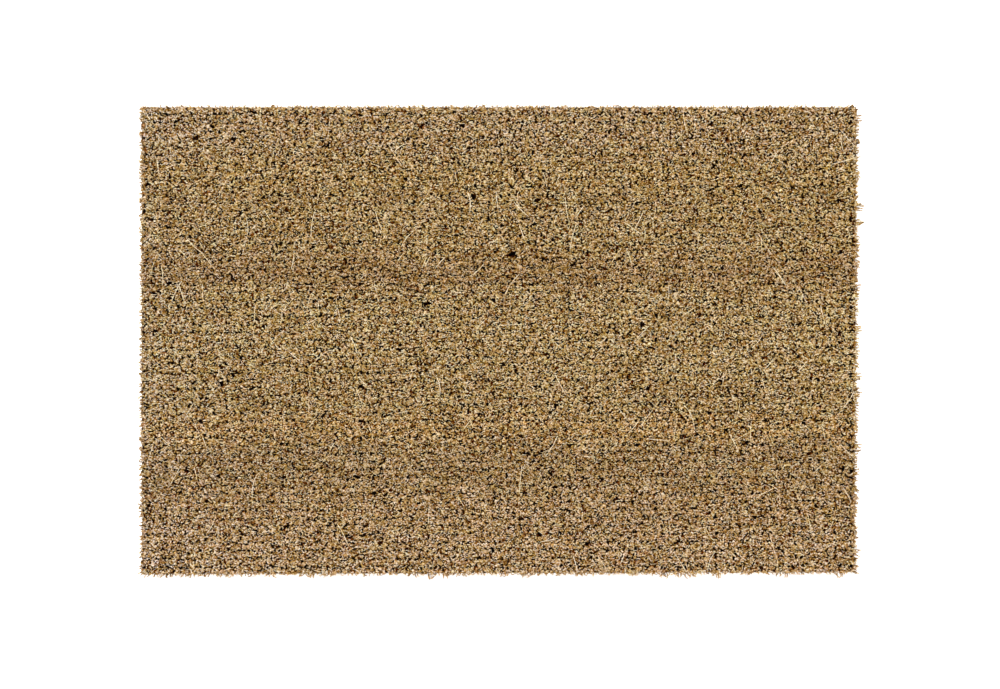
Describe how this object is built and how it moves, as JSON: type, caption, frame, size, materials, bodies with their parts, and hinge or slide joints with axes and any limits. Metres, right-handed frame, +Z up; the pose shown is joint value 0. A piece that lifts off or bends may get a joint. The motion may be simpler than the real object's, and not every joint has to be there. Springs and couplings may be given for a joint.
{
  "type": "door mat",
  "caption": "Rectangular coir door mat: rows of cut coconut-fibre yarn tufts with their feet set in a flexible PVC backing sheet.",
  "frame": {"origin": "centre of the flat underside, at floor level", "axes": "+X along the mat's length and its rows of tufts, +Y from the front edge to the back edge, +Z up out of the pile"},
  "size_m": [0.6, 0.392, 0.016],
  "materials": {
    "pvc_backing": "flexible PVC, cast flat and calendered, matt",
    "coir_pile": "natural coconut fibre yarn, cut pile, sheared level"
  },
  "bodies": {
    "root": {"backing_sheet": "pvc_backing", "tuft_row_01": "coir_pile", "tuft_row_02": "coir_pile", "tuft_row_03": "coir_pile", "tuft_row_04": "coir_pile", "tuft_row_05": "coir_pile", "tuft_row_06": "coir_pile", "tuft_row_07": "coir_pile", "tuft_row_08": "coir_pile", "tuft_row_09": "coir_pile", "tuft_row_10": "coir_pile", "tuft_row_11": "coir_pile", "tuft_row_12": "coir_pile", "tuft_row_13": "coir_pile", "tuft_row_14": "coir_pile", "tuft_row_15": "coir_pile", "tuft_row_16": "coir_pile", "tuft_row_17": "coir_pile", "tuft_row_18": "coir_pile", "tuft_row_19": "coir_pile", "tuft_row_20": "coir_pile", "tuft_row_21": "coir_pile", "tuft_row_22": "coir_pile", "tuft_row_23": "coir_pile", "tuft_row_24": "coir_pile", "tuft_row_25": "coir_pile", "tuft_row_26": "coir_pile", "tuft_row_27": "coir_pile", "tuft_row_28": "coir_pile", "tuft_row_29": "coir_pile", "tuft_row_30": "coir_pile", "tuft_row_31": "coir_pile", "tuft_row_32": "coir_pile", "tuft_row_33": "coir_pile", "tuft_row_34": "coir_pile", "tuft_row_35": "coir_pile", "tuft_row_36": "coir_pile", "tuft_row_37": "coir_pile", "tuft_row_38": "coir_pile", "tuft_row_39": "coir_pile", "tuft_row_40": "coir_pile", "tuft_row_41": "coir_pile", "tuft_row_42": "coir_pile", "tuft_row_43": "coir_pile", "tuft_row_44": "coir_pile", "tuft_row_45": "coir_pile", "tuft_row_46": "coir_pile", "tuft_row_47": "coir_pile", "tuft_row_48": "coir_pile", "tuft_row_49": "coir_pile", "tuft_row_50": "coir_pile", "tuft_row_51": "coir_pile", "tuft_row_52": "coir_pile", "tuft_row_53": "coir_pile", "tuft_row_54": "coir_pile", "tuft_row_55": "coir_pile", "tuft_row_56": "coir_pile", "tuft_row_57": "coir_pile", "tuft_row_58": "coir_pile"}
  },
  "joints": []
}
